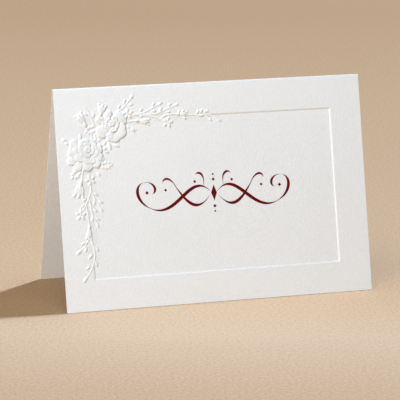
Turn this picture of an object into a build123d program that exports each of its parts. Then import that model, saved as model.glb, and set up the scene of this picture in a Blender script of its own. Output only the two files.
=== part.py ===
from build123d import *
from math import cos, radians, sin
import os

# A folded note card standing like a tent: one sheet of heavy stock, creased along its top edge.
# Its front leaf has a sunken panel with a printed scroll in the middle, and a spray of roses is
# raised out of the sheet across the panel's upper left corner.
# Frame: X along the fold, the front leaf faces -Y, Z is up, and the origin is on the surface
# that the card stands on, under the middle of the fold. Lengths are millimetres.

# The sheet
card_width = 123.8
leaf_height = 85.7  # from the top of the fold down to the cut edge, along the leaf
stock = 0.45
crease_radius = 0.25  # inside the fold
lean = 15.6  # of each leaf from upright, in degrees

# The panel pressed into the front leaf, with its margins out to the middle of its step
margin_left = 11.8
margin_right = 12.8
margin_top = 12.9
margin_bottom = 12.1
panel_depth = 0.35
step_run = 0.6  # width of the sloping step round the panel

# The rose spray, with its heights over the front face
spray_unit = 1.0  # one step of the spray's drawing
stem_width = 0.5
stem_height = 0.28
leaflet_height = 0.4
blossom_height = 0.5
outer_petal_height = 0.6
inner_petal_height = 0.85
heart_height = 1
leaflet_top = 0.45  # a leaflet's flat top as a share of its outline
petal_top = 0.7
inner_petals = 6  # of a rose
inner_petal_start = 0.08  # shares of the rose's size
inner_petal_reach = 0.56
inner_petal_width = 0.6
heart_radius = 0.2
roll_radius = 0.3
roll_step = 0.06  # the roll's loss of radius in a quarter turn
hollow_radius = 0.34
hollow_roof = 0.05  # the hollows behind the roses end this far under the front face
blossom_petals = 5

# The printed ornament
ornament_unit = 1.0  # one step of the ornament's drawing
ink_film = 0.06

# The fold and the leaves
tilt = radians(lean)
outer_radius = crease_radius + stock
leaf_run = leaf_height - outer_radius  # flat part of each leaf
fold_height = leaf_run * cos(tilt) - crease_radius * sin(tilt)  # of the fold's axis


def across(radius, run, side):
    """A point of the card's section: radius out from the fold's axis and run down the leaf."""
    return (
        side * (radius * cos(tilt) + run * sin(tilt)),
        fold_height + radius * sin(tilt) - run * cos(tilt),
    )


# The front leaf's outer face: x to the right, y up the leaf, origin at the middle of its top edge
top_y, top_z = across(outer_radius, 0, -1)
front_face = Plane(origin=(0, top_y, top_z), x_dir=(1, 0, 0), z_dir=(0, -cos(tilt), sin(tilt)))


def on_face(x, y, height=0):
    """The front face's plane with its origin moved to a point and a height over it."""
    origin = front_face.from_local_coords((x, y, height))
    return Plane(origin=origin, x_dir=front_face.x_dir, z_dir=front_face.z_dir)


panel_width = card_width - margin_left - margin_right
panel_height = leaf_height - margin_top - margin_bottom
panel_x = (margin_left - margin_right) / 2
panel_y = outer_radius - margin_top - panel_height / 2


def panel_outline(depth, growth):
    """The panel's rectangle at a depth below the front face, larger all round by growth."""
    with BuildSketch(on_face(panel_x, panel_y, -depth)) as outline:
        Rectangle(panel_width + 2 * growth, panel_height + 2 * growth)
    return outline.sketch.face()


# The spray's plane starts at the panel's upper left corner, with y up the leaf. Its pieces are
# rooted in the middle of what the sheet inside and outside the panel share.
spray = on_face(margin_left - card_width / 2, outer_radius - margin_top)
root = (stock + panel_depth) / 2

# Half outlines of a leaflet, a toothed leaf and a petal, as shares of their length and width
leaflet_half = [(0.6, 0.5), (0.94, 0.34)]
toothed_half = [(0.1, 0.34), (0.3, 0.3), (0.4, 0.5), (0.56, 0.36), (0.68, 0.42), (0.84, 0.2), (1, 0.04)]
petal_half = [(0.2, 0.3), (0.55, 0.5), (0.85, 0.42), (1.0, 0.16)]
outline_middle = 0.6  # the share of the length that a top shrinks about


def drawn(point):
    """A point of the spray's drawing as a vector in the spray's plane."""
    return Vector(*point) * spray_unit


def lying(start, end, start_height, end_height):
    """A plane over the spray with x from one point towards another, at their heights."""
    origin = spray.from_local_coords((start.X, start.Y, start_height))
    ahead = spray.from_local_coords((end.X, end.Y, end_height)) - origin
    return Plane(origin=origin, x_dir=ahead, z_dir=ahead.cross(spray.z_dir.cross(ahead)))


def raised(half_outline, start, end, width, low, high, top):
    """A raised form with sloping sides, pointed at its start: its top is a share of its outline
    and climbs from low at the start to high at the end."""
    start, end = drawn(start), drawn(end)
    length = (end - start).length
    side = [(x - outline_middle, y) for x, y in half_outline]
    corners = [(-outline_middle, 0), *side, *[(x, -y) for x, y in reversed(side)]]

    def section(plane, share):
        """The outline drawn in a plane at a share of its size."""
        points = [
            ((outline_middle + x * share) * length, y * width * spray_unit * share)
            for x, y in corners
        ]
        with BuildSketch(plane) as outline:
            with BuildLine():
                Polyline(*points, close=True)
            make_face()
        return outline.sketch.face()

    foot = lying(start, end, 0, 0)
    top_plane = lying(start, end, low, high)
    sections = [section(foot.offset(-root), 1), section(foot, 1), section(top_plane, top)]
    return loft(sections, ruled=True, mode=Mode.PRIVATE)


def leaflet(start, end, width, height=leaflet_height):
    """A small leaf or bud petal, pointed at its stalk and fattest near its tip."""
    return raised(leaflet_half, start, end, width, height, height, leaflet_top)


def toothed_leaf(start, end, width):
    """A rose leaf with teeth along both edges, higher towards its tip."""
    return raised(toothed_half, start, end, width, stem_height, blossom_height, leaflet_top)


def ridge(course, height):
    """A thin ridge along a course of the spray's drawing."""
    with BuildSketch(spray.offset(-root)) as outline:
        trace(course.edges(), stem_width)
    return extrude(outline.sketch, amount=root + height, mode=Mode.PRIVATE)


def stem(points):
    """A stem along an arc through three points, or a smooth curve through fewer or more."""
    curve = ThreePointArc if len(points) == 3 else Spline
    with BuildLine() as course:
        curve(*[drawn(point) for point in points])
    return ridge(course, stem_height)


def around(centre, radius, degrees):
    """A point of the spray's drawing at a distance and an angle from another."""
    angle = radians(degrees)
    return (centre[0] + radius * cos(angle), centre[1] + radius * sin(angle))


def bud(start, end, width):
    """A half-open bud: two outer petals spread beside a taller middle one, over a small calyx."""
    ahead = (Vector(*end) - Vector(*start)).normalized()
    aside = Vector(-ahead.Y, ahead.X) * width
    tip = Vector(*end) - ahead * width * 0.2
    left, right = tip + aside * 0.28, tip - aside * 0.28
    calyx = Vector(*start) + ahead * width * 0.7
    return [
        leaflet(start, (left.X, left.Y), width * 0.42),
        leaflet(start, (right.X, right.Y), width * 0.42),
        leaflet(start, end, width * 0.5, outer_petal_height),
        leaflet((calyx.X, calyx.Y), start, width * 0.3, blossom_height),
    ]


def blossom(centre, radius, turn):
    """A small open flower: petals round a raised eye."""
    pieces = []
    for k in range(blossom_petals):
        tip = around(centre, radius, turn + k * 360 / blossom_petals)
        pieces.append(leaflet(centre, tip, radius * 0.66, blossom_height))
    eye = [around(centre, radius * 0.25, turn + 180), around(centre, radius * 0.25, turn)]
    pieces.append(leaflet(*eye, radius * 0.45, outer_petal_height))
    return pieces


def rose(heart, size, turn, outer_petals):
    """A full rose: its own outer petals, a ring of inner ones and a rolled heart."""
    low, middle, high = stem_height, outer_petal_height, inner_petal_height
    pieces = [raised(petal_half, *place, low, middle, petal_top) for place in outer_petals]
    for k in range(inner_petals):
        degrees = turn + k * 360 / inner_petals
        start = around(heart, size * inner_petal_start, degrees)
        end = around(heart, size * inner_petal_reach, degrees)
        width = size * inner_petal_width
        pieces.append(raised(petal_half, start, end, width, middle, high, petal_top))
    # the roll closes in on the heart in two half turns
    roll = [
        drawn(around(heart, size * (roll_radius - roll_step * k), turn + 90 * k)) for k in range(5)
    ]
    with BuildLine() as course:
        ThreePointArc(*roll[:3])
        ThreePointArc(*roll[2:])
    pieces.append(ridge(course, heart_height))
    pieces.append(rose_core(heart, size * heart_radius, -root, middle))
    return pieces


def rose_core(heart, radius, low, high):
    """A many-sided block in the middle of a rose, between two heights."""
    middle = drawn(heart)
    with BuildSketch(spray.offset(low)) as outline:
        with Locations((middle.X, middle.Y)):
            RegularPolygon(radius * spray_unit, 2 * inner_petals)
    return extrude(outline.sketch, amount=high - low, mode=Mode.PRIVATE)


def rose_hollow(heart, size):
    """What the press leaves open behind a rose, up into the middle of it."""
    return rose_core(heart, size * hollow_radius, -2 * stock - panel_depth, -hollow_roof)


# Where the spray's pieces lie, in steps from the panel's corner
stems = [
    # over the upper rose and along the top
    [(13, 2.9), (16.5, 5.5), (19.2, 8.7)],
    [(19.2, 1.6), (24.8, 2.8), (30.5, 5.4)],
    [(23.7, 1.2), (30.4, 2.2), (36.8, 4.5)],
    [(19.2, 1.3), (25.6, 0.6), (31, -1.5)],
    [(30.2, -0.7), (34, 0.8), (41.2, 0.3), (48.8, 0.1)],
    [(48.5, 0), (49.4, -0.8), (50.2, -2)],
    [(48.8, 0), (51.4, -1.1), (53.8, -2.6)],
    [(15.6, -1.3), (20.2, -0.8)],
    # in the corner and between the roses
    [(3.5, -1.7), (2.1, 2.3), (0, 5.7)],
    [(5.8, 1.1), (6.8, 3.1), (7.5, 4.7)],
    [(3.6, -9.1), (6, -6.7)],
    [(2.2, -5.1), (2.5, -7.5)],
    [(3.7, -5.1), (3.8, -7.5)],
    # down the left
    [(-2, -18.5), (-2.5, -21.1), (-3.2, -24.1)],
    [(0.7, -24.5), (-0.4, -29.8), (-3.4, -34.9)],
    [(-1.7, -32.1), (-1.2, -35.5), (-0.9, -40.3)],
    [(0.9, -26.7), (2.5, -31), (4.5, -34.4)],
    [(-0.1, -30.3), (0.7, -35.5), (2.5, -40.3)],
    [(-1.6, -45.5), (-3.6, -48.3), (-6.2, -50.2)],
    [(-0.6, -45.3), (0.4, -49.1), (0.3, -53.1), (-1.4, -57.3), (-4.2, -61.1)],
]
leaflets = [  # stalk, tip and width
    # over the upper rose and along the top
    ((18.2, 7.4), (19.7, 9.3), 1.2), ((13.4, 3.7), (14.1, 5.8), 1.1),
    ((17.2, 5.5), (19.5, 5.5), 1), ((21.4, 2.4), (23.3, 3.9), 1.1), ((26.7, 3.9), (28, 5.9), 1.1),
    ((26.3, 2.7), (28.5, 2.3), 1), ((28.8, 4.6), (31.2, 5.8), 1.1), ((29.3, 2), (30.9, 3.7), 1.1),
    ((33.2, 3.7), (34.6, 5.4), 1.1), ((31.9, 2.1), (34.3, 1.7), 1), ((35.1, 3.8), (37.6, 4.9), 1.1),
    ((21.8, 0.1), (23, 1.4), 0.9), ((49.4, -1), (50.6, -2.6), 1), ((52.2, -1.6), (54.5, -3), 1),
    ((44.2, 0.2), (45.7, 2.1), 1.2), ((45.7, 0.4), (47.1, 2.3), 1.2), ((47, 0.6), (49.5, 1.7), 1.2),
    ((44.4, 0), (47.6, -0.3), 1.1), ((37, 0.9), (38, 2.5), 1), ((38.6, -0.1), (40.5, -1.3), 1),
    # in the corner and between the roses
    ((1.6, 1.9), (-0.6, 3.3), 1.1), ((3.3, 0.7), (3.6, 3.3), 1.1), ((-7.6, -7.3), (-9.5, -6.3), 1.3),
    ((-6.6, -8.4), (-8.5, -8), 1.1), ((-1.8, -7.1), (-2.6, -4.7), 1.2), ((10, -9.3), (13.3, -10.5), 1.2),
    ((8, -7.7), (6.7, -9.6), 1.1), ((8.7, -8.3), (9.5, -11.7), 1.4), ((8.4, -10.1), (6, -11.7), 1.1),
    ((6.3, -11.6), (8.8, -12.6), 1.1), ((4.8, -16.5), (6.7, -14), 1.3), ((3.1, -19.5), (4.9, -21.5), 1),
    # down the left
    ((1.2, -27.1), (3.4, -28.8), 1.1), ((1.6, -29.7), (1.8, -32.4), 1.1),
    ((2.8, -30.5), (5.3, -31.9), 1.1), ((3.5, -32.8), (4.8, -35.2), 1), ((0.8, -33.3), (2.6, -35.2), 1.1),
    ((1.3, -36.6), (3.4, -38.3), 1.1), ((1.7, -38.3), (2.9, -41.2), 1),
    ((-1, -29.1), (-3.1, -30.7), 1.1), ((-1.8, -31.7), (-3.8, -32.7), 1),
    # at the foot
    ((-2.5, -46.3), (-4.8, -47.1), 1.2), ((-2.5, -47.8), (-3.3, -50.2), 1.2),
    ((-4.3, -48.9), (-6.9, -50.8), 1.2), ((0.5, -47.7), (2.3, -50.2), 1.1), ((0, -50.7), (-2.2, -52.7), 1.1),
    ((0.5, -53.4), (1.3, -56.1), 1.1), ((-1.1, -55.2), (-3.4, -56.7), 1.1), ((-2.7, -59), (-4.8, -61.7), 1.2),
]
blossoms = [  # middle, radius and turn
    ((17, 1.9), 2.5, 20),
    ((32.8, -2.1), 2.5, 5),
    ((0.7, -22.6), 2.4, 40),
    ((-4, -35.7), 2.5, 15),
]
buds = [  # foot, tip and width
    ((19.8, -0.8), (26, -1.7), 2.6),
    ((36.4, 0.8), (41.4, 0.7), 2),
    ((0.4, -2.1), (-3, 3.3), 3.6),
    ((6.1, 1.8), (7.6, 6.4), 3.2),
    ((-3, -22.7), (-4.6, -29.5), 4.2),
    ((-0.8, -39.7), (-1.4, -45.7), 3),
    ((16.6, -2.9), (20, -5.1), 1.8),
]
toothed_leaves = [
    ((4.2, -2.7), (-0.4, -4.3), 3),
    ((4.8, -17.3), (10, -17.4), 2.8),
    ((-2.8, -18.3), (-7, -21.9), 2.8),
]
roses = [  # heart, size and turn, then each outer petal's heart end, rim and width
    (
        (10.6, -1.7),
        6.6,
        20,
        [
            ((8.6, -1.2), (4, 0.3), 3.8),
            ((9.6, -0.8), (8.2, 3.9), 4.4),
            ((11.4, -1.2), (15.2, 2.2), 5.6),
            ((11.9, -2.8), (16.2, -3.8), 4.4),
            ((11.2, -4), (12.6, -8), 4.2),
            ((10, -4), (9.4, -8.4), 3.6),
            ((9.4, -3.2), (4.5, -5.6), 4.6),
        ],
    ),
    (
        (-0.3, -11.8),
        7.8,
        50,
        [
            ((2, -10.8), (6.2, -11), 5),
            ((2.4, -12.6), (6, -14.6), 4.2),
            ((2, -14.4), (4.6, -17.7), 4),
            ((-0.6, -14.6), (0.3, -19.1), 5),
            ((-2.2, -14.5), (-4.7, -18.7), 4.2),
            ((-3, -13.2), (-7.7, -15.4), 4.4),
            ((-3, -11.8), (-7.5, -12), 4.2),
            ((-2.5, -10), (-6.4, -7.6), 4.6),
            ((0, -9.4), (-0.6, -6.8), 5.6),
            ((1.4, -9.8), (3.6, -7.2), 4),
        ],
    ),
]

relief = [stem(points) for points in stems]
relief += [leaflet(*place) for place in leaflets]
relief += [toothed_leaf(*place) for place in toothed_leaves]
for place in blossoms:
    relief += blossom(*place)
for place in buds:
    relief += bud(*place)
for place in roses:
    relief += rose(*place)

with BuildPart() as card:
    # The folded sheet, drawn as its section
    with BuildSketch(Plane.YZ):
        with BuildLine():
            Line(across(outer_radius, leaf_run, -1), across(outer_radius, 0, -1))
            ThreePointArc(
                across(outer_radius, 0, -1),
                (0, fold_height + outer_radius),
                across(outer_radius, 0, 1),
            )
            Line(across(outer_radius, 0, 1), across(outer_radius, leaf_run, 1))
            Line(across(outer_radius, leaf_run, 1), across(crease_radius, leaf_run, 1))
            Line(across(crease_radius, leaf_run, 1), across(crease_radius, 0, 1))
            ThreePointArc(
                across(crease_radius, 0, 1),
                (0, fold_height + crease_radius),
                across(crease_radius, 0, -1),
            )
            Line(across(crease_radius, 0, -1), across(crease_radius, leaf_run, -1))
            Line(across(crease_radius, leaf_run, -1), across(outer_radius, leaf_run, -1))
        make_face()
    extrude(amount=card_width / 2, both=True)

    # The panel stands out behind the leaf as far as it is pressed in from the front
    half_step = step_run / 2
    loft([panel_outline(stock, half_step), panel_outline(stock + panel_depth, -half_step)])
    loft([panel_outline(0, half_step), panel_outline(panel_depth, -half_step)], mode=Mode.SUBTRACT)

    # The spray, pressed out of the same sheet
    add(relief)
    add([rose_hollow(heart, size) for heart, size, *_ in roses], mode=Mode.SUBTRACT)


def pen_stroke(points, swell):
    """A curved stroke of the pen, pointed at both ends and swelling to its middle."""
    start, first, second, end = [Vector(*point) * ornament_unit for point in points]
    # two edges between the same ends part by the swell where their inner points lie 2/3 as far off
    off = Vector(start.Y - end.Y, end.X - start.X).normalized() * swell * ornament_unit * 2 / 3
    with BuildLine() as edge:
        Bezier(start, first + off, second + off, end)
        Bezier(end, second - off, first - off, start)
    make_face(edge.edges())


def lozenge(x, y, half_width, half_height):
    """A dot of the square pen."""
    corners = [(x + half_width, y), (x, y + half_height), (x - half_width, y), (x, y - half_height)]
    with BuildLine() as edge:
        Polyline(*[Vector(*corner) * ornament_unit for corner in corners], close=True)
    make_face(edge.edges())


# The ornament's right half, drawn from the middle of the panel: each stroke's curve and swell,
# and each dot's place with half its width and height
ornament_strokes = [
    ([(1.2, 0.4), (9.5, 10), (15.5, -11), (26.5, -4.2)], 1.45),  # long sweep
    ([(24.6, -5), (31.8, -3), (32.8, 6.2), (26.4, 5.6)], 1.15),  # its end, turning up
    ([(28, 5.5), (22.2, 6.2), (22.4, -1.2), (27, 1.4)], 0.95),  # and rolling in
    ([(1.4, -0.5), (7.5, -8.6), (11.5, -2.8), (16, 4.3)], 1.2),  # short sweep, crossing it
    ([(14.6, 1.9), (17.6, 9.5), (22.6, 6), (19.6, 2.4)], 0.85),
    ([(4.2, 2.6), (2.4, 9), (8.4, 9.7), (7.5, 5)], 0.85),  # tendril over the sweeps
]
side_dots = [(26.9, 1.5, 0.7, 0.7), (19.4, 2.1, 0.6, 0.6), (7.5, 4.7, 0.6, 0.6)]
middle_dots = [(0, 0, 1.15, 3.1)]
for y, size in ((5.2, 0.65), (7.2, 0.42)):
    middle_dots += [(0, y, size, size), (0, -y, size, size)]

with BuildPart() as flourish:
    with BuildSketch(on_face(panel_x, panel_y, -panel_depth)):
        for points, swell in ornament_strokes:
            pen_stroke(points, swell)
        for dot in side_dots:
            lozenge(*dot)
        mirror(about=Plane.YZ)
        for dot in middle_dots:
            lozenge(*dot)
    extrude(amount=ink_film)

card.part.label = "card"
flourish.part.label = "printed_flourish"
os.makedirs("parts", exist_ok=True)
export_step(card.part, "parts/card.step")
export_step(flourish.part, "parts/printed_flourish.step")
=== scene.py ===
from math import cos, pi, radians, sin

import bmesh
import bpy
import numpy as np
from mathutils import Matrix, Vector


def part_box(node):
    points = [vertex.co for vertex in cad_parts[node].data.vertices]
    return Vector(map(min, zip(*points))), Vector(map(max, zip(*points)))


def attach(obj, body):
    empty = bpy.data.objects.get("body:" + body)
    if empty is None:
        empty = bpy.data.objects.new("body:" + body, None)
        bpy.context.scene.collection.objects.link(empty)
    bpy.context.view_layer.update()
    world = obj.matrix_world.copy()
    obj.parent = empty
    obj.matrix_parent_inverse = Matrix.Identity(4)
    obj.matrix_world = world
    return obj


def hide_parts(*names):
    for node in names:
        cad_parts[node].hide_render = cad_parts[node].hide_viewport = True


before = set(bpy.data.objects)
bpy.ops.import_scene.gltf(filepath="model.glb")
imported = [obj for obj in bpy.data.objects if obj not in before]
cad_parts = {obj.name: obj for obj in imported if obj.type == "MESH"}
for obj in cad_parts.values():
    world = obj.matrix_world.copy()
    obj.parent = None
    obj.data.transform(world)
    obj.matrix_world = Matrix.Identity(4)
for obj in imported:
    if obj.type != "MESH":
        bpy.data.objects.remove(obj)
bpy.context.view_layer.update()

mm = 0.001


# Shader nodes: a socket that takes part in sums, and one method that makes any other node

class Wire:
    def __init__(self, tree, socket):
        self.tree = tree
        self.socket = socket

    def node(self, kind, settings=None, output=0, **values):
        made = self.tree.nodes.new(kind)
        for name, value in (settings or {}).items():
            if name == "stops":
                ramp = made.color_ramp
                while len(ramp.elements) < len(value):
                    ramp.elements.new(0.5)
                for element, (place, colour) in zip(ramp.elements, value):
                    element.position = place
                    element.color = (*colour, 1)
            else:
                setattr(made, name, value)
        for name, value in values.items():
            number = name[1:]
            socket = made.inputs[int(number) if number.isdigit() else name.replace("_", " ")]
            if isinstance(value, Wire):
                self.tree.links.new(value.socket, socket)
            else:
                socket.default_value = value
        return Wire(self.tree, made.outputs[output])

    def maths(self, operation, first, second=0.0):
        return self.node("ShaderNodeMath", {"operation": operation}, i0=first, i1=second)

    def __add__(self, other):
        return self.maths("ADD", self, other)

    def __sub__(self, other):
        return self.maths("SUBTRACT", self, other)

    def __mul__(self, other):
        return self.maths("MULTIPLY", self, other)

    __radd__ = __add__
    __rmul__ = __mul__

    def __rsub__(self, other):
        return self.maths("SUBTRACT", other, self)


def newMaterial(name):
    material = bpy.data.materials.new(name)
    material.use_nodes = True
    tree = material.node_tree
    tree.nodes.clear()
    shader = tree.nodes.new("ShaderNodeBsdfPrincipled")
    output = tree.nodes.new("ShaderNodeOutputMaterial")
    tree.links.new(shader.outputs[0], output.inputs[0])
    place = Wire(tree, tree.nodes.new("ShaderNodeTexCoord").outputs["Object"])
    return material, shader, place


def connect(shader, socket, wire):
    wire.tree.links.new(wire.socket, shader.inputs[socket])


# The rose spray's relief, in millimetres from the panel's upper left corner: x to the right,
# y up the leaf, and heights over the face

relief = {
    "stemWidth": 0.6,
    "stemHeight": 0.22,
    "stemSteps": 8,  # between two of a stem's points
    "leafletHeight": 0.34,
    "budHeight": 0.46,
    "blossomHeight": 0.36,
    "rollWidth": 0.6,  # of the rolled petals in a rose's heart
    "rollHeight": 0.22,
    "edgeRun": 0.44,  # how far in from its outline a petal or leaf reaches its full height
    "lipPlace": 0.42,  # how far in from its outline a petal's rolled lip stands, and its width
    "lipWidth": 0.24,
    "softness": 0.17,  # how far the paper rounds the die's edges
    "scale": 1.12,  # on every height above
    "backSpread": 0.8,  # the back of the sheet follows the relief softly: how far it blurs,
    "backShare": 0.56,  # and how much of the height it takes
}


class Relief:
    def __init__(self, x, y):
        self.x, self.y = x, y
        self.height = np.zeros(len(x))

    def stamp(self, low, high, shape):
        inside = np.nonzero(
            (self.x > low[0]) & (self.x < high[0]) & (self.y > low[1]) & (self.y < high[1])
        )[0]
        if len(inside):
            found = shape(self.x[inside], self.y[inside])
            self.height[inside] = np.maximum(self.height[inside], found)

    # a leaf or petal: an ellipse, domed and climbing from low at its foot to high at its rim; a
    # skew over 1 puts its widest part near the rim, and one under 1 near the foot
    def blade(self, foot, rim, width, low, high, dome, skew=1.4, ruffle=0.0, lip=0.0):
        foot, rim = np.array(foot, float), np.array(rim, float)
        length = np.hypot(*(rim - foot))
        ahead = (rim - foot) / length
        half = width / 2

        def shape(x, y):
            along = ((x - foot[0]) * ahead[0] + (y - foot[1]) * ahead[1]) / length
            aside = (-(x - foot[0]) * ahead[1] + (y - foot[1]) * ahead[0]) / half
            drawn = 2 * np.clip(along, 0, 1) ** skew - 1
            # 0 in the middle and 1 at the outline, and over 1 before the foot and past the rim
            reach = np.sqrt(drawn**2 + aside**2) + (np.abs(along - 0.5) > 0.5) * 2
            if ruffle:  # five waves round the outline, which start elsewhere on each petal
                turn = np.arctan2(aside, drawn)
                reach = reach * (1 + ruffle * np.sin(5 * turn + 3 * foot[0]))
            inside = (1 - reach) * half
            rise = np.clip(inside / relief["edgeRun"], 0, 1)
            body = low + (high - low) * along + dome * np.sqrt(np.clip(1 - reach**2, 0, 1))
            roll = np.exp(-(((inside - relief["lipPlace"]) / relief["lipWidth"]) ** 2))
            towardsRim = np.clip((along - 0.3) / 0.4, 0, 1)  # the lip fades out near the foot
            body = body + lip * roll * towardsRim
            return body * rise * (2 - rise)

        span = half + 0.1
        corner = np.minimum(foot, rim) - span
        self.stamp(corner, np.maximum(foot, rim) + span, shape)

    # a round ridge along a smooth line through its points
    def ridge(self, points, width, height, base=0.0, taper=0.3):
        points = np.array(points, float)
        knots = np.vstack([2 * points[0] - points[1], points, 2 * points[-1] - points[-2]])
        line = []
        for k in range(1, len(knots) - 2):
            before, start, end, after = knots[k - 1 : k + 3]
            for t in np.linspace(0, 1, relief["stemSteps"], endpoint=False):
                line.append(
                    0.5 * (2 * start + (end - before) * t
                           + (2 * before - 5 * start + 4 * end - after) * t**2
                           + (3 * start - before - 3 * end + after) * t**3)
                )
        line = np.array(line + [knots[-2]])
        half = width / 2

        def shape(x, y):
            found = np.zeros(len(x))
            for k in range(len(line) - 1):
                start, step = line[k], line[k + 1] - line[k]
                t = ((x - start[0]) * step[0] + (y - start[1]) * step[1]) / (step @ step)
                t = np.clip(t, 0, 1)
                far = np.hypot(x - start[0] - t * step[0], y - start[1] - t * step[1])
                reach = far / (half * (1 - taper * (k + t) / (len(line) - 1)))
                top = (base + height * np.sqrt(np.clip(1 - reach**2, 0, 1))) * (reach < 1)
                found = np.maximum(found, top)
            return found

        self.stamp(line.min(0) - half, line.max(0) + half, shape)


def around(centre, radius, degrees):
    return centre[0] + radius * cos(radians(degrees)), centre[1] + radius * sin(radians(degrees))


# eight offsets round a point
def ring(radius):
    return [around((0, 0), radius, 45 * k) for k in range(8)]


def leafletRelief(made, foot, tip, width):
    made.blade(
        foot, tip, width * 1.1, low=0.06, high=0.1, dome=relief["leafletHeight"] - 0.08, skew=1.25
    )


# a rose leaf: three lobes on either side of its middle and one at the tip
def toothedRelief(made, foot, tip, width):
    foot, tip = np.array(foot, float), np.array(tip, float)
    ahead = tip - foot
    aside = np.array([-ahead[1], ahead[0]]) / np.hypot(*ahead) * width / 2
    dome = relief["leafletHeight"] - 0.2
    for share, spread in ((0.02, 0.85), (0.24, 1.1), (0.46, 0.9)):  # where a lobe starts, its reach
        for side in (-1, 1):
            start = foot + ahead * share + aside * side * 0.12
            end = foot + ahead * (share + 0.34) + aside * side * spread
            made.blade(start, end, width * 0.42, low=0.04, high=0.24, dome=dome, skew=1.3)
    made.blade(foot + ahead * 0.55, tip, width * 0.4, low=0.04, high=0.24, dome=dome)


# a bud: two outer petals with curled tips, one between them, and a calyx at the foot
def budRelief(made, foot, tip, width):
    foot, tip = np.array(foot, float), np.array(tip, float)
    length = np.hypot(*(tip - foot))
    ahead = (tip - foot) / length
    aside = np.array([-ahead[1], ahead[0]]) * width
    top = relief["budHeight"]
    for side in (-1, 1):
        end = tip - ahead * width * 0.2 + aside * side * 0.36
        made.blade(foot, end, width * 0.42, low=0.06, high=0.22, dome=top - 0.3, lip=0.16)
        curl = end + aside * side * 0.16 + ahead * width * 0.12
        inner = foot + ahead * length * 0.72 + aside * side * 0.2
        made.blade(inner, curl, width * 0.3, low=0.1, high=0.3, dome=top - 0.3)
    made.blade(foot, tip, width * 0.44, low=0.1, high=0.3, dome=top - 0.26, lip=0.14)
    calyx = foot + ahead * length * 0.42
    made.blade(calyx, foot - ahead * width * 0.1, width * 0.4, low=0.3, high=0.3, dome=0.3)


# a star blossom: pointed petals round a small knob
def blossomRelief(made, centre, radius, turn, petals=5):
    dome = relief["blossomHeight"] - 0.06
    for k in range(petals):
        foot = around(centre, radius * 0.16, turn + k * 360 / petals)
        rim = around(centre, radius, turn + k * 360 / petals)
        made.blade(foot, rim, radius * 0.56, low=0.08, high=0.12, dome=dome, skew=0.75)
    knob = radius * 0.17
    made.blade(
        around(centre, knob, turn), around(centre, knob, turn + 180), radius * 0.34,
        low=0.3, high=0.3, dome=0.26, skew=1,
    )


# petals of a rose as foot, rim and width, all climbing from one height to another, with a lip
def petalRing(made, petals, low, high, lip, dome):
    for foot, rim, width in petals:
        made.blade(foot, rim, width, low, high, dome, skew=1.5, ruffle=0.05, lip=lip)


# the rolled heart of a rose
def heartRelief(made, centre, size, turn, base):
    made.blade(
        around(centre, size, turn), around(centre, size, turn + 180), size * 1.9,
        low=base, high=base, dome=0.1, skew=1,
    )
    # each rolled petal: how far out it lies, where it starts and how far round it goes
    for share, start, sweep in ((0.85, 0, 200), (0.5, 150, 220), (0.2, 320, 160)):
        arc = [around(centre, size * share, turn + start + sweep * k / 5) for k in range(6)]
        made.ridge(arc, relief["rollWidth"], relief["rollHeight"], base=base, taper=0.1)


def upperRose(made):
    petalRing(made, [
        ((8.6, -1.9), (4.4, 1.2), 3.2), ((7.6, -0.9), (10.3, 3.6), 3.0),
        ((10.8, -4.4), (9.2, -8.3), 3.8),
    ], low=0.0, high=0.12, lip=0.06, dome=0.46)
    petalRing(made, [
        ((11.4, -1.6), (15.6, 1.6), 6.0), ((11.8, -3.4), (15.6, -6.2), 4.8),
        ((11.0, -4.6), (12.2, -8.6), 3.8), ((9.4, -3.0), (4.4, -5.6), 5.0),
    ], low=0.0, high=0.2, lip=0.12, dome=0.42)
    petalRing(made, [
        ((9.9, -1.0), (6.4, -2.3), 3.4), ((11.9, -2.8), (16.0, -3.2), 3.4),
        ((11.7, -4.4), (8.3, -7.1), 3.2),
    ], low=0.1, high=0.3, lip=0.14, dome=0.36)
    petalRing(made, [
        ((10.4, -1.8), (7.6, -2.9), 3.2), ((10.6, -2.2), (10.9, -4.8), 3.8),
        ((10.9, -1.7), (13.3, -2.3), 3.4), ((10.6, -1.2), (12.4, 1.0), 2.8),
        ((10.2, -1.2), (8.6, 0.5), 2.6),
    ], low=0.3, high=0.56, lip=0.16, dome=0.2)
    heartRelief(made, (10.7, -1.6), 1.3, turn=30, base=0.62)


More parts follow.
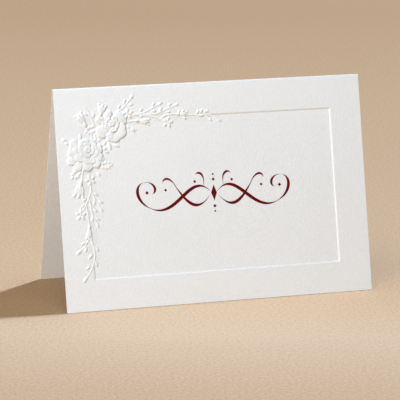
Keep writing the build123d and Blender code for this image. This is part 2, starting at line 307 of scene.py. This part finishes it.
def lowerRose(made):
    petalRing(made, [
        ((-2.5, -10.0), (-6.4, -7.6), 3.9), ((-3.0, -11.8), (-7.6, -12.0), 3.9),
        ((-3.0, -13.4), (-7.8, -15.8), 3.5), ((-2.2, -14.5), (-4.7, -18.7), 3.7),
        ((-0.6, -14.6), (0.3, -19.1), 4.7), ((2.0, -14.4), (4.6, -17.7), 3.5),
        ((2.4, -12.6), (6.0, -14.6), 3.7), ((2.0, -10.8), (6.2, -11.0), 4.3),
        ((0.0, -9.4), (-0.6, -6.8), 5.2), ((1.4, -9.8), (3.4, -7.4), 3.3),
    ], low=0.0, high=0.2, lip=0.12, dome=0.44)
    petalRing(made, [
        ((-1.2, -10.8), (-5.5, -10.6), 4.5), ((-1.0, -12.0), (-4.6, -14.8), 3.9),
        ((0.0, -12.6), (-0.8, -16.5), 3.7), ((1.2, -12.8), (2.2, -16.6), 3.0),
        ((1.4, -11.4), (4.5, -13.0), 3.7), ((1.2, -10.6), (4.0, -9.4), 3.0),
        ((-0.6, -10.0), (-2.8, -7.8), 3.3),
    ], low=0.12, high=0.36, lip=0.16, dome=0.36)
    petalRing(made, [
        ((-0.2, -10.8), (-3.3, -10.0), 4.0), ((0.0, -11.2), (-0.6, -14.0), 3.8),
        ((0.3, -10.9), (2.8, -12.0), 3.4), ((0.1, -10.5), (0.4, -8.2), 3.4),
        ((-0.2, -11.1), (-2.6, -12.8), 3.0),
    ], low=0.3, high=0.56, lip=0.16, dome=0.2)
    heartRelief(made, (0.1, -10.7), 1.4, turn=200, base=0.62)


stems = [
    # over the upper rose and along the top
    [(13, 2.9), (15.8, 4.8), (17.8, 6.9), (19.2, 8.7)],
    [(19.2, 1.6), (23, 2), (26.4, 3.5), (30.5, 5.4)],
    [(23.7, 1.2), (28.2, 1.4), (33, 3.2), (36.8, 4.5)],
    [(19.2, 1.3), (24.4, 0.9), (27.6, 0.1), (31, -1.5)],
    [(30.2, -0.7), (32, 0.5), (36.2, 0.9), (41.2, 0.3), (48.8, 0.1)],
    [(48.5, 0), (49.4, -0.8), (50.2, -2)],
    [(48.8, 0), (51.4, -1.1), (53.8, -2.6)],
    [(15.6, -1.3), (20.2, -0.8)],
    # in the corner and between the roses
    [(3.5, -1.7), (2.1, 2.3), (0, 5.7)],
    [(5.8, 1.1), (6.8, 3.1), (7.5, 4.7)],
    [(3.6, -9.1), (6, -6.7)],
    [(2.2, -5.1), (2.5, -7.5)],
    [(3.7, -5.1), (3.8, -7.5)],
    # down the left
    [(-2, -18.5), (-2.5, -21.1), (-3.2, -24.1)],
    [(0.7, -24.5), (0.5, -27.1), (-0.5, -29.7), (-1.9, -32.3), (-3.4, -34.9)],
    [(-1.7, -32.1), (-1.2, -35.5), (-0.9, -40.3)],
    [(0.9, -26.7), (1.9, -29.7), (3.3, -32.3), (4.5, -34.4)],
    [(-0.1, -30.3), (0.4, -34.1), (1.1, -36.9), (2.5, -40.3)],
    [(-1.6, -45.5), (-3.6, -48.3), (-6.2, -50.2)],
    [(-0.6, -45.3), (0.4, -49.1), (0.3, -53.1), (-1.4, -57.3), (-4.2, -61.1)],
]
leaflets = [  # stalk, tip and width
    # over the upper rose and along the top
    ((18.2, 7.4), (19.7, 9.3), 1.2), ((13.4, 3.7), (14.1, 5.8), 1.1), ((15.7, 5.3), (16.2, 7.8), 1.1),
    ((17.2, 5.5), (19.5, 5.5), 1), ((21.4, 2.4), (23.3, 3.9), 1.1), ((26.7, 3.9), (28, 5.9), 1.1),
    ((26.3, 2.7), (28.5, 2.3), 1), ((28.8, 4.6), (31.2, 5.8), 1.1), ((29.3, 2), (30.9, 3.7), 1.1),
    ((33.2, 3.7), (34.6, 5.4), 1.1), ((31.9, 2.1), (34.3, 1.7), 1), ((35.1, 3.8), (37.6, 4.9), 1.1),
    ((21.8, 0.1), (23, 1.4), 0.9), ((49.4, -1), (50.6, -2.6), 1), ((52.2, -1.6), (54.5, -3), 1),
    ((44.2, 0.2), (45.7, 2.1), 1.2), ((45.7, 0.4), (47.1, 2.3), 1.2), ((47, 0.6), (49.5, 1.7), 1.2),
    ((44.4, 0), (47.6, -0.3), 1.1), ((37, 0.9), (38, 2.5), 1), ((38.6, -0.1), (40.5, -1.3), 1),
    ((38.2, 1.3), (39.8, 2.3), 1),
    # in the corner and between the roses
    ((1.6, 1.9), (-0.6, 3.3), 1.1), ((3.3, 0.7), (3.6, 3.3), 1.1), ((-7.6, -7.3), (-9.5, -6.3), 1.3),
    ((-6.6, -8.4), (-8.5, -8), 1.1), ((-1.8, -7.1), (-2.6, -4.7), 1.2), ((10, -9.3), (13.3, -10.5), 1.2),
    ((8, -7.7), (6.7, -9.6), 1.1), ((8.7, -8.3), (9.5, -11.7), 1.4), ((8.4, -10.1), (6, -11.7), 1.1),
    ((6.3, -11.6), (8.8, -12.6), 1.1), ((4.8, -16.5), (6.7, -14), 1.3), ((3.1, -19.5), (4.9, -21.5), 1),
    # down the left
    ((1.2, -27.1), (3.4, -28.8), 1.1), ((1.6, -29.7), (1.8, -32.4), 1.1),
    ((2.8, -30.5), (5.3, -31.9), 1.1), ((3.5, -32.8), (4.8, -35.2), 1), ((0.8, -33.3), (2.6, -35.2), 1.1),
    ((0.7, -36.1), (0.4, -38.7), 1.1), ((1.3, -36.6), (3.4, -38.3), 1.1), ((1.7, -38.3), (2.9, -41.2), 1),
    ((-1, -29.1), (-3.1, -30.7), 1.1), ((-1.8, -31.7), (-3.8, -32.7), 1),
    # at the foot
    ((-2.5, -46.3), (-4.8, -47.1), 1.2), ((-2.5, -47.8), (-3.3, -50.2), 1.2),
    ((-4.3, -48.9), (-6.9, -50.8), 1.2), ((0.5, -47.7), (2.3, -50.2), 1.1), ((0, -50.7), (-2.2, -52.7), 1.1),
    ((0.5, -53.4), (1.3, -56.1), 1.1), ((-1.1, -55.2), (-3.4, -56.7), 1.1), ((-2.7, -59), (-4.8, -61.7), 1.2),
]
blossoms = [  # middle, radius and turn
    ((17, 1.9), 2.5, 20),
    ((32.8, -2.1), 2.5, 5),
    ((0.7, -22.6), 2.4, 40),
    ((-4, -35.7), 2.5, 15),
]
buds = [  # foot, tip and width
    ((19.8, -0.8), (26, -1.7), 2.6),
    ((36.4, 0.8), (41.4, 0.7), 2),
    ((0.4, -2.1), (-3, 3.3), 3.6),
    ((6.1, 1.8), (7.6, 6.4), 3.4),
    ((-3, -22.7), (-4.6, -29.5), 4.2),
    ((-0.8, -39.7), (-1.4, -45.7), 2.5),
    ((16.6, -2.9), (20, -5.1), 1.8),
]
toothedLeaves = [
    ((4.2, -2.7), (-0.4, -4.3), 3),
    ((4.8, -17.3), (10, -17.4), 2.8),
    ((-2.8, -18.3), (-7, -21.9), 2.8),
]


def sharpHeights(x, y):
    made = Relief(x, y)
    for points in stems:
        made.ridge(points, relief["stemWidth"], relief["stemHeight"])
    for place in leaflets:
        leafletRelief(made, *place)
    for place in toothedLeaves:
        toothedRelief(made, *place)
    for place in blossoms:
        blossomRelief(made, *place)
    for place in buds:
        budRelief(made, *place)
    upperRose(made)
    lowerRose(made)
    return made.height


# each height is the mean over a small ring, as the paper rounds every edge of the die
def sprayHeights(x, y):
    total = 2 * sharpHeights(x, y)
    for dx, dy in ring(relief["softness"]):
        total += sharpHeights(x + dx, y + dy)
    return total / 10 * relief["scale"]


# The card: one flat plate of stock, refined where it is pressed, then folded over the crease

card = {
    "stock": 0.45 * mm,
    "creaseRadius": 0.25 * mm,
    "lean": radians(15.6),
    "marginLeft": 11.8 * mm,
    "marginRight": 12.8 * mm,
    "marginTop": 12.9 * mm,
    "marginBottom": 12.1 * mm,
    "panelDepth": 0.35 * mm,
    "stepRun": 0.6 * mm,
    "softRun": 5.0 * mm,  # the step's width where the spray runs over it
    "sprayBottom": 55.0 * mm,  # how far the spray reaches down the panel's left side
    "sprayEnd": 49.0 * mm,  # and along its top
    "sprayFade": 4.0 * mm,
    "cells": (92, 126),  # of the flat plate, across and along
    # each finer pass: how far it reaches from the panel's step, and from the spray
    "passes": ((1.9 * mm, 2.2 * mm), (1.1 * mm, 1.0 * mm), (0.5 * mm, 0.35 * mm)),
    "creaseRows": 3,  # of the plate's cells that the crease takes up
    "creaseCuts": 7,
    "sharpAngle": radians(60),  # edges that turn more than this stay sharp
}
lowest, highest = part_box("card")
cardWidth = highest.x - lowest.x
outerRadius = card["creaseRadius"] + card["stock"]
leafRun = (highest.y - outerRadius * cos(card["lean"])) / sin(card["lean"])
foldHeight = highest.z - outerRadius
leafHeight = leafRun + outerRadius
creaseHalf = (card["creaseRadius"] + card["stock"] / 2) * (pi / 2 - card["lean"])
flatLength = 2 * (leafRun + creaseHalf)
panelWide = cardWidth - card["marginLeft"] - card["marginRight"]
panelHigh = leafHeight - card["marginTop"] - card["marginBottom"]


def makeActive(piece):
    bpy.ops.object.select_all(action="DESELECT")
    piece.select_set(True)
    bpy.context.view_layer.objects.active = piece


def smoothStep(value):
    value = np.clip(value, 0, 1)
    return value * value * (3 - 2 * value)


# a point of the flat plate, measured across and up from the panel's upper left corner
def leafPlace(x, y):
    across = x + cardWidth / 2 - card["marginLeft"]
    return across, card["marginTop"] - outerRadius - (np.abs(y) - creaseHalf)


# 1 on the panel's floor and 0 outside it
def panelShare(across, up):
    besideEnd = smoothStep((across - card["sprayEnd"]) / card["sprayFade"] + 0.5)
    aboveFoot = smoothStep((up + card["sprayBottom"]) / card["sprayFade"] + 0.5)
    plain = card["stepRun"]
    soft = plain + (1 - besideEnd) * aboveFoot * (card["softRun"] - plain)
    left = smoothStep(across / soft + 0.5)
    top = smoothStep(-up / soft + 0.5)
    right = smoothStep((panelWide - across) / plain + 0.5)
    bottom = smoothStep((panelHigh + up) / plain + 0.5)
    return left * top * right * bottom


def refine(sheet, chosen):
    makeActive(sheet)
    bpy.ops.object.mode_set(mode="EDIT")
    bpy.ops.mesh.select_mode(type="FACE")
    bpy.ops.mesh.select_all(action="DESELECT")
    edited = bmesh.from_edit_mesh(sheet.data)
    for face in edited.faces:
        face.select_set(bool(chosen[face.index]))
    bmesh.update_edit_mesh(sheet.data)
    bpy.ops.mesh.subdivide(number_cuts=1, ngon=False)
    bpy.ops.object.mode_set(mode="OBJECT")


def faceCentres(sheet):
    centres = np.empty(len(sheet.data.polygons) * 3)
    sheet.data.polygons.foreach_get("center", centres)
    return centres.reshape(-1, 3).T


def nearRelief(across, up, reach):
    near = np.zeros(len(across), bool)
    for dx, dy in ring(reach):
        near |= sharpHeights((across + dx) / mm, (up + dy) / mm) > 0
    return near | (sharpHeights(across / mm, up / mm) > 0)


def foldedCard():
    cells = card["cells"]
    bpy.ops.mesh.primitive_grid_add(x_subdivisions=cells[0], y_subdivisions=cells[1], size=1)
    sheet = bpy.context.object
    sheet.name = "folded_card"
    sheet.data.name = "folded_card"
    makeActive(sheet)
    bpy.ops.object.mode_set(mode="EDIT")
    bpy.ops.mesh.select_all(action="SELECT")
    bpy.ops.transform.resize(value=(cardWidth, flatLength, 1))

    # the crease: finer rows along the middle
    bpy.ops.mesh.select_mode(type="EDGE")
    bpy.ops.mesh.select_all(action="DESELECT")
    edited = bmesh.from_edit_mesh(sheet.data)
    row = flatLength / cells[1]
    reach = card["creaseRows"] / 2 * row
    for edge in edited.edges:
        low, high = sorted(corner.co.y for corner in edge.verts)
        edge.select_set(high - low > row / 2 and low > -reach and high < reach)
    bmesh.update_edit_mesh(sheet.data)
    bpy.ops.mesh.subdivide(number_cuts=card["creaseCuts"])

    # the thickness
    bpy.ops.mesh.select_mode(type="FACE")
    bpy.ops.mesh.select_all(action="SELECT")
    bpy.ops.mesh.extrude_region_move(TRANSFORM_OT_translate={"value": (0, 0, card["stock"])})
    bpy.ops.mesh.select_all(action="SELECT")
    bpy.ops.mesh.normals_make_consistent(inside=False)
    bpy.ops.mesh.edges_select_sharp(sharpness=card["sharpAngle"])
    bpy.ops.mesh.mark_sharp()
    bpy.ops.object.mode_set(mode="OBJECT")
    print("flat plate", len(sheet.data.polygons), "faces")

    # finer cells along the panel's step and round the spray, each pass inside the one before
    tiny = 0.01 * mm
    for stepReach, sprayReach in card["passes"]:
        x, y, z = faceCentres(sheet)
        across, up = leafPlace(x, y)
        outline = np.maximum(
            np.maximum(-across, across - panelWide), np.maximum(up, -panelHigh - up)
        )
        outer = (y < 0) & (z > card["stock"] - tiny)
        inner = (y < 0) & (z < tiny)
        chosen = (np.abs(outline) < stepReach) & (outer | inner)
        chosen[outer] |= nearRelief(across[outer], up[outer], sprayReach)
        refine(sheet, chosen)
        print("finer cells", len(sheet.data.polygons), "faces")

    # even triangles, so that none lies on a line where finer cells meet wider ones
    bpy.ops.object.mode_set(mode="EDIT")
    bpy.ops.mesh.select_all(action="SELECT")
    bpy.ops.mesh.quads_convert_to_tris(quad_method="BEAUTY", ngon_method="BEAUTY")
    bpy.ops.object.mode_set(mode="OBJECT")

    # press it, then fold it over the crease
    count = len(sheet.data.vertices)
    points = np.empty(count * 3)
    sheet.data.vertices.foreach_get("co", points)
    x, y, z = points.reshape(-1, 3).T
    across, up = leafPlace(x, y)
    front = y < 0
    outer = z > card["stock"] / 2
    pressed = -card["panelDepth"] * panelShare(across, up) * front
    raised = np.zeros(count)
    shown = front & outer
    raised[shown] = sprayHeights(across[shown] / mm, up[shown] / mm) * mm
    behind = front & ~outer
    for dx, dy in ring(relief["backSpread"]):
        heights = sharpHeights(across[behind] / mm + dx, up[behind] / mm + dy)
        raised[behind] += heights * mm * relief["backShare"] / 8
    height = card["creaseRadius"] + z + pressed + raised
    side = np.sign(y)
    run = np.abs(y) - creaseHalf
    turned = (pi / 2 - card["lean"]) * np.clip(np.abs(y) / creaseHalf, 0, 1)
    level = height * np.sin(turned)
    rise = height * np.cos(turned)
    down = np.clip(run, 0, None)
    points = np.column_stack([
        x,
        side * (level + down * sin(card["lean"])),
        foldHeight + rise - down * cos(card["lean"]),
    ])
    sheet.data.vertices.foreach_set("co", points.ravel())
    sheet.data.update()
    makeActive(sheet)
    bpy.ops.object.shade_smooth(keep_sharp_edges=True)
    return sheet


paper = {
    "dark": (0.845, 0.835, 0.815, 1),
    "light": (0.875, 0.868, 0.852, 1),
    "cloudScale": 55.0,
    "grainScale": 1500.0,
    "fibreScale": 420.0,
    "grainShare": 0.8,  # of the bump's height; the rest is fibre
    "grainDepth": 0.24 * mm,
    "roughness": 0.62,
    "roughnessSpread": 0.12,
    "specular": 0.35,
}
redInk = {
    "dark": (0.10, 0.001, 0.001, 1),
    "light": (0.175, 0.003, 0.002, 1),
    "flowScale": 260.0,
    "flowStrength": 0.4,
    "flowDepth": 0.06 * mm,
    "roughness": 0.26,
    "roughnessSpread": 0.14,
    "specular": 0.3,
}


# what paper and ink share: a colour between two tones, a roughness and a bump
def finishSurface(shader, look, tone, gloss, bump):
    mixed = tone.node(
        "ShaderNodeMix", {"data_type": "RGBA"}, output=2,
        i0=tone, i6=look["dark"], i7=look["light"],
    )
    connect(shader, "Base Color", mixed)
    connect(shader, "Roughness", look["roughness"] + gloss * look["roughnessSpread"])
    connect(shader, "Normal", bump)
    shader.inputs["Specular IOR Level"].default_value = look["specular"]


def paperMaterial():
    material, shader, place = newMaterial("felt_paper")
    cloud = place.node("ShaderNodeTexNoise", {}, i0=place, Scale=paper["cloudScale"], Detail=3.0)
    grain = place.node(
        "ShaderNodeTexNoise", {}, i0=place, Scale=paper["grainScale"], Detail=3.0, Roughness=0.7
    )
    fibre = place.node("ShaderNodeTexNoise", {}, i0=place, Scale=paper["fibreScale"], Detail=2.0)
    felt = grain * paper["grainShare"] + fibre * (1 - paper["grainShare"])
    bump = place.node(
        "ShaderNodeBump", {}, Height=felt, Strength=1.0, Distance=paper["grainDepth"]
    )
    finishSurface(shader, paper, cloud, grain, bump)
    return material


def inkMaterial():
    material, shader, place = newMaterial("raised_red_ink")
    flow = place.node("ShaderNodeTexNoise", {}, i0=place, Scale=redInk["flowScale"], Detail=2.0)
    bump = place.node(
        "ShaderNodeBump", {}, Height=flow, Strength=redInk["flowStrength"],
        Distance=redInk["flowDepth"],
    )
    finishSurface(shader, redInk, flow, flow, bump)
    return material


sheet = foldedCard()
sheet.data.materials.append(paperMaterial())
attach(sheet, "root")
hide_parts("card")
print("folded card", sum(len(face.vertices) - 2 for face in sheet.data.polygons), "triangles")

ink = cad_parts["printed_flourish"]
ink.data.materials.clear()
ink.data.materials.append(inkMaterial())
print("ink")


# The table top, the lamps and the camera

table = {
    "size": 6.0,
    # colours from the near edge to the far end, with painted light falloff that is lightest just in front of
    # the card and darker towards the near edge and the far end: how far back each stands, and the colour
    "stops": (
        (-0.135, (0.42, 0.31, 0.218)), (-0.066, (0.483, 0.38, 0.288)), (-0.02, (0.45, 0.334, 0.232)),
        (0.14, (0.437, 0.322, 0.222)), (0.62, (0.367, 0.255, 0.157)),
    ),
    "paintedFalloffSlant": 0.3,  # the bands of painted falloff lie aslant of the card, so depth grows with x as well and the right side is painted darker
    "grain": 0.3,  # how far a speck's brightness goes from the mean
    "grainScale": 900.0,
    "roughness": 0.8,
    "roughnessSpread": 0.1,
}
room = {"colour": (0.85, 0.95, 1.1), "strength": 0.075}
lamps = {  # kind, where it stands from, distance, width or angle, strength, colour, what it lights
    "sun_lamp": ("SUN", (0.601, 0.197, 0.774), 3, radians(5), 4.0, (0.75, 0.86, 1.0), "table"),
    "sky_lamp": ("SUN", (-0.2, -0.3, 0.93), 3, radians(60), 1.82, (1.0, 0.80, 0.54), "table"),
    "window_lamp": ("AREA", (-0.37, -0.33, 0.868), 0.8, 0.19, 4.75, (0.89, 1.02, 1.18), "card"),
    "back_lamp": ("AREA", (0.3, 0.82, 0.49), 1.3, 0.7, 14.0, (1.0, 0.98, 0.95), "card"),
    "fill_lamp": ("AREA", (-0.72, -0.68, 0.13), 2, 0.5, 16.0, (1.0, 0.94, 0.84), "all"),
}


def floorMaterial():
    material, shader, place = newMaterial("table_paper")
    grain = place.node(
        "ShaderNodeTexNoise", {}, i0=place, Scale=table["grainScale"], Detail=1.0, Roughness=0.6
    )
    # the ramp over depth is the table's tone with painted light falloff: lighter just in front of the card,
    # darker towards the near edge, the far end and the right
    across = place.node("ShaderNodeSeparateXYZ", {}, i0=place)
    depth = place.node("ShaderNodeSeparateXYZ", {}, i0=place, output=1) + across * table["paintedFalloffSlant"]
    near, far = table["stops"][0][0], table["stops"][-1][0]
    share = place.node("ShaderNodeMapRange", {}, i0=depth, i1=near, i2=far)
    stops = [((back - near) / (far - near), colour) for back, colour in table["stops"]]
    toneAndPaintedFalloff = place.node("ShaderNodeValToRGB", {"stops": stops}, i0=share)
    speck = (grain - 0.5) * (2 * table["grain"]) + 1
    specked = place.node("ShaderNodeVectorMath", {"operation": "SCALE"}, i0=toneAndPaintedFalloff, Scale=speck)
    connect(shader, "Base Color", specked)
    connect(shader, "Roughness", table["roughness"] + grain * table["roughnessSpread"])
    return material


bpy.ops.mesh.primitive_plane_add(size=table["size"], location=(0, 0, 0))
floor = bpy.context.object
floor.name = "table_top"
floor.data.materials.append(floorMaterial())
print("table top")

world = bpy.data.worlds.new("room")
bpy.context.scene.world = world
world.use_nodes = True
world.node_tree.nodes["Background"].inputs[0].default_value = (*room["colour"], 1)
world.node_tree.nodes["Background"].inputs[1].default_value = room["strength"]

# the sun and sky light the table alone, with the card's shadow on it, and the window and back
# lamps light the card alone, so that the card's soft light and the table's hard shadow can differ
receivers = {"all": None}
for lit, things in (("table", [floor]), ("card", [sheet, ink])):
    receivers[lit] = bpy.data.collections.new("lit_" + lit)
    for thing in things:
        receivers[lit].objects.link(thing)

for name, (kind, stands, distance, width, strength, colour, lights) in lamps.items():
    bpy.ops.object.light_add(type=kind)
    lamp = bpy.context.object
    lamp.name = name
    if kind == "SUN":
        lamp.data.angle = width
    else:
        lamp.data.size = width
    lamp.data.energy = strength
    lamp.data.color = colour
    direction = Vector(stands).normalized()
    lamp.location = direction * distance
    lamp.rotation_euler = direction.to_track_quat("Z", "Y").to_euler()
    lamp.light_linking.receiver_collection = receivers[lights]

view = {
    "azimuth": radians(-16.523),
    "elevation": radians(14.978),
    "roll": radians(0.615),
    "distance": 0.88,
    "target": (-2.64 * mm, 0, 34.94 * mm),
    "focal": 2231.4,  # in pixels of a 400 pixel picture
    "picture": 400,
    "sensor": 36.0,
    "clipEnd": 20,
}
az, el = view["azimuth"], view["elevation"]
back = Vector((sin(az) * cos(el), -cos(az) * cos(el), sin(el)))
right = Vector((cos(az), sin(az), 0))
up = back.cross(right)
rolledRight = cos(view["roll"]) * right + sin(view["roll"]) * up
rolledUp = cos(view["roll"]) * up - sin(view["roll"]) * right
turn = Matrix((rolledRight, rolledUp, back)).transposed().to_4x4()
bpy.ops.object.camera_add()
camera = bpy.context.object
camera.matrix_world = Matrix.Translation(Vector(view["target"]) + back * view["distance"]) @ turn
camera.data.sensor_width = view["sensor"]
camera.data.lens = view["focal"] / view["picture"] * view["sensor"]
camera.data.clip_end = view["clipEnd"]
bpy.context.scene.camera = camera
bpy.context.scene.view_settings.view_transform = "Standard"
print("lamps and camera")
